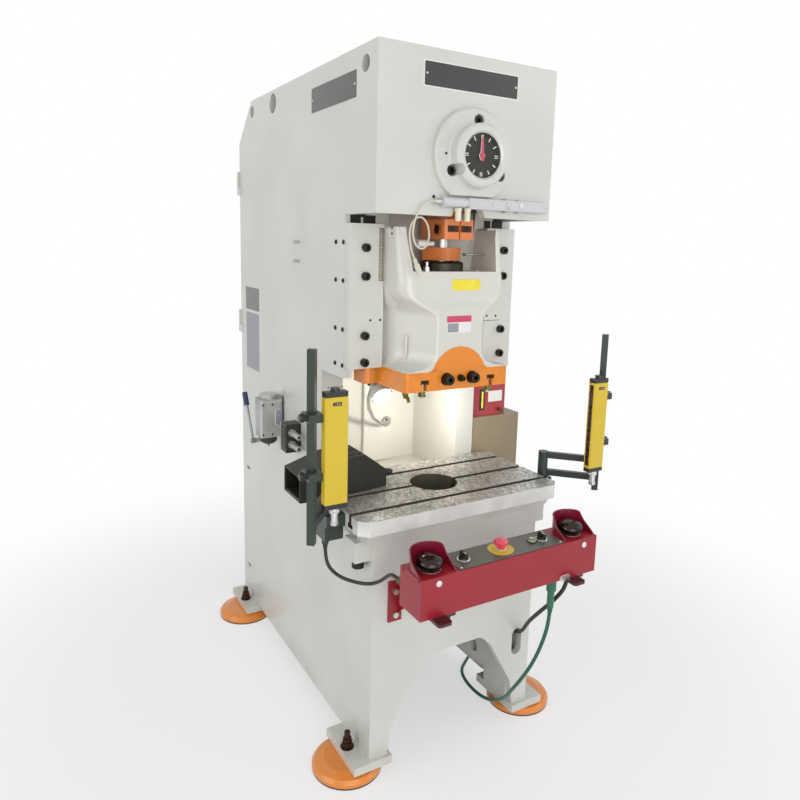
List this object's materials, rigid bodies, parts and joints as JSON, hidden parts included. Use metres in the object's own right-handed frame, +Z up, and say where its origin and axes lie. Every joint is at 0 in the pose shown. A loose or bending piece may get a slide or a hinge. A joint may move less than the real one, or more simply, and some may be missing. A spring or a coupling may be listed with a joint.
{
  "type": "mechanical stamping press",
  "caption": "C-frame mechanical stamping press with guided slide, T-slot bolster, dial, two-hand console and light curtains.",
  "frame": {"origin": "middle of the outline on the floor, without the cables", "axes": "+Z up, +X to the operator's right, +Y to the back of the press"},
  "size_m": [1.062, 1.474, 2.044],
  "materials": {
    "frame_cream": "gloss paint",
    "slide_cream": "gloss paint with an orange painted lower band",
    "orange_paint": "gloss paint",
    "console_red": "gloss paint",
    "hood_maroon": "gloss paint",
    "panel_grey": "satin paint with a yellow disc",
    "black_metal": "satin paint",
    "black_oxide": "black oxide",
    "bright_steel": "machined",
    "scraped_steel": "hand scraped top, painted front",
    "chrome": "polished",
    "aluminium": "satin",
    "cast_grey": "as cast",
    "cast_machined": "machined rim",
    "motor_grey": "satin paint",
    "belt_rubber": "matte",
    "cord_black": "satin",
    "cord_green": "satin",
    "cord_beige": "satin",
    "plug_beige": "satin",
    "curtain_yellow": "satin with black end caps",
    "cabinet_paint": "satin paint",
    "red_tank": "gloss",
    "red_plastic": "gloss",
    "green_plastic": "gloss",
    "black_plastic": "satin",
    "palm_dark": "dark polished",
    "pointer_red": "satin",
    "lamp_white": "satin"
  },
  "bodies": {
    "frame": {"side_plate_left": "frame_cream", "side_plate_right": "frame_cream", "head_front_plate": "frame_cream", "top_plate": "frame_cream", "rear_plate": "frame_cream", "throat_back_plate": "frame_cream", "bed_plate": "frame_cream", "lower_front_plate": "frame_cream", "floor_pads": "orange_paint", "anchor_studs": "black_oxide", "bolster": "scraped_steel", "bolster_bolts": "black_oxide", "gibs": "frame_cream", "dial_cover": "frame_cream", "frame_screws": "black_oxide", "head_duct": "aluminium", "crank_bearings": "cast_grey", "drive_motor": "motor_grey", "drive_belt": "belt_rubber", "console_box": "console_red", "console_panel": "panel_grey", "palm_hoods": "hood_maroon", "console_arms": "console_red", "curtain_brackets": "black_metal", "foot_switch": "black_metal", "lamp_neck": "chrome", "air_unit": "aluminium", "cabinet_box": "cabinet_paint", "lubricator": "red_tank", "curtain_cable": "cord_black", "console_cable": "cord_black", "supply_cable": "cord_green", "sensor_lead": "cord_beige", "sensor_plug": "plug_beige"},
    "crank": {"crankshaft": "bright_steel", "dial_pointer": "pointer_red"},
    "flywheel_body": {"flywheel": "cast_machined"},
    "pulley_body": {"motor_pulley": "cast_machined"},
    "rod": {"con_rod": "orange_paint"},
    "height_screw": {"adjusting_screw": "bright_steel", "rod_collar": "orange_paint"},
    "slide": {"slide_body": "slide_cream", "slide_cap": "orange_paint", "slide_nuts": "black_oxide", "ball_retainer": "black_oxide"},
    "palm_left": {"palm_button_left": "palm_dark"},
    "palm_right": {"palm_button_right": "palm_dark"},
    "stop": {"stop_button": "red_plastic"},
    "start": {"start_button": "green_plastic"},
    "select_left": {"selector_left": "black_plastic"},
    "select_right": {"selector_right": "black_plastic"},
    "curtain_left_body": {"curtain_arm_left": "black_metal", "curtain_left": "curtain_yellow"},
    "curtain_right_body": {"curtain_arm_right": "black_metal", "curtain_right": "curtain_yellow"},
    "pedal": {"foot_pedal": "black_metal"},
    "lamp": {"lamp_head": "lamp_white"},
    "lever": {"air_lever": "black_metal"},
    "cabinet_leaf": {"cabinet_door": "cabinet_paint"},
    "rear_leaf": {"rear_door": "frame_cream"}
  },
  "joints": [
    {"name": "crank_turn", "type": "hinge", "parent": "frame", "child": "crank", "pos_m": [-0.003, -0.295, 1.779], "axis": [0, 1, 0], "range_deg": [0, 180]},
    {"name": "press_stroke", "type": "slide", "parent": "frame", "child": "rod", "axis": [0, 0, 1], "range_m": [-0.0801, 0]},
    {"name": "height_adjust", "type": "slide", "parent": "rod", "child": "slide", "axis": [0, 0, 1], "range_m": [-0.041, 0.009]},
    {"name": "screw_turn", "type": "hinge", "parent": "slide", "child": "height_screw", "pos_m": [-0.003, -0.295, 1.424], "axis": [0, 0, 1], "range_deg": [-2960, 660]},
    {"name": "flywheel_spin", "type": "hinge", "parent": "frame", "child": "flywheel_body", "pos_m": [-0.003, 0.395, 1.779], "axis": [0, 1, 0], "continuous": true},
    {"name": "motor_spin", "type": "hinge", "parent": "frame", "child": "pulley_body", "pos_m": [-0.003, 0.395, 1.235], "axis": [0, 1, 0], "continuous": true},
    {"name": "palm_press_left", "type": "slide", "parent": "frame", "child": "palm_left", "axis": [0, 0, 1], "range_m": [-0.006, 0], "stiffness_N_per_m": 1500, "springref_m": 0.006},
    {"name": "palm_press_right", "type": "slide", "parent": "frame", "child": "palm_right", "axis": [0, 0, 1], "range_m": [-0.006, 0], "stiffness_N_per_m": 1500, "springref_m": 0.006},
    {"name": "stop_press", "type": "slide", "parent": "frame", "child": "stop", "axis": [0, 0, 1], "range_m": [-0.005, 0], "stiffness_N_per_m": 600, "springref_m": 0.004},
    {"name": "start_press", "type": "slide", "parent": "frame", "child": "start", "axis": [0, 0, 1], "range_m": [-0.004, 0], "stiffness_N_per_m": 500, "springref_m": 0.003},
    {"name": "selector_turn_left", "type": "hinge", "parent": "frame", "child": "select_left", "pos_m": [-0.138, -0.6515, 0.731], "axis": [0, 0, 1], "range_deg": [-45, 45]},
    {"name": "selector_turn_right", "type": "hinge", "parent": "frame", "child": "select_right", "pos_m": [0.129, -0.6515, 0.731], "axis": [0, 0, 1], "range_deg": [-45, 45]},
    {"name": "curtain_swing_left", "type": "hinge", "parent": "frame", "child": "curtain_left_body", "pos_m": [-0.389, -0.363, 0.85], "axis": [0, 0, 1], "range_deg": [-90, 20]},
    {"name": "curtain_swing_right", "type": "hinge", "parent": "frame", "child": "curtain_right_body", "pos_m": [0.383, -0.363, 0.839], "axis": [0, 0, 1], "range_deg": [-20, 90]},
    {"name": "pedal_press", "type": "hinge", "parent": "frame", "child": "pedal", "pos_m": [-0.265, -0.213, 0.846], "axis": [0, 1, 0], "range_deg": [-12, 0], "stiffness_Nm_per_rad": 4, "springref_deg": 20.05},
    {"name": "lamp_tilt", "type": "hinge", "parent": "frame", "child": "lamp", "pos_m": [-0.109, -0.087, 1.092], "axis": [1, 0, 0], "range_deg": [-35, 35]},
    {"name": "air_valve_turn", "type": "hinge", "parent": "frame", "child": "lever", "pos_m": [-0.397, 0.277, 0.838], "axis": [1, 0, 0], "range_deg": [-60, 30]},
    {"name": "cabinet_door_swing", "type": "hinge", "parent": "frame", "child": "cabinet_leaf", "pos_m": [0.504, 0.178, 0.785], "axis": [0, 0, 1], "range_deg": [0, 110]},
    {"name": "rear_door_swing", "type": "hinge", "parent": "frame", "child": "rear_leaf", "pos_m": [-0.301, 0.725, 1.5], "axis": [0, 0, 1], "range_deg": [0, 100]}
  ],
  "couplings": [
    {"joint": "press_stroke", "follows": "crank_turn", "m_per_rad": -0.025465},
    {"joint": "screw_turn", "follows": "height_adjust", "rad_per_m": 1256.6},
    {"joint": "motor_spin", "follows": "flywheel_spin", "ratio": 3.7097}
  ]
}
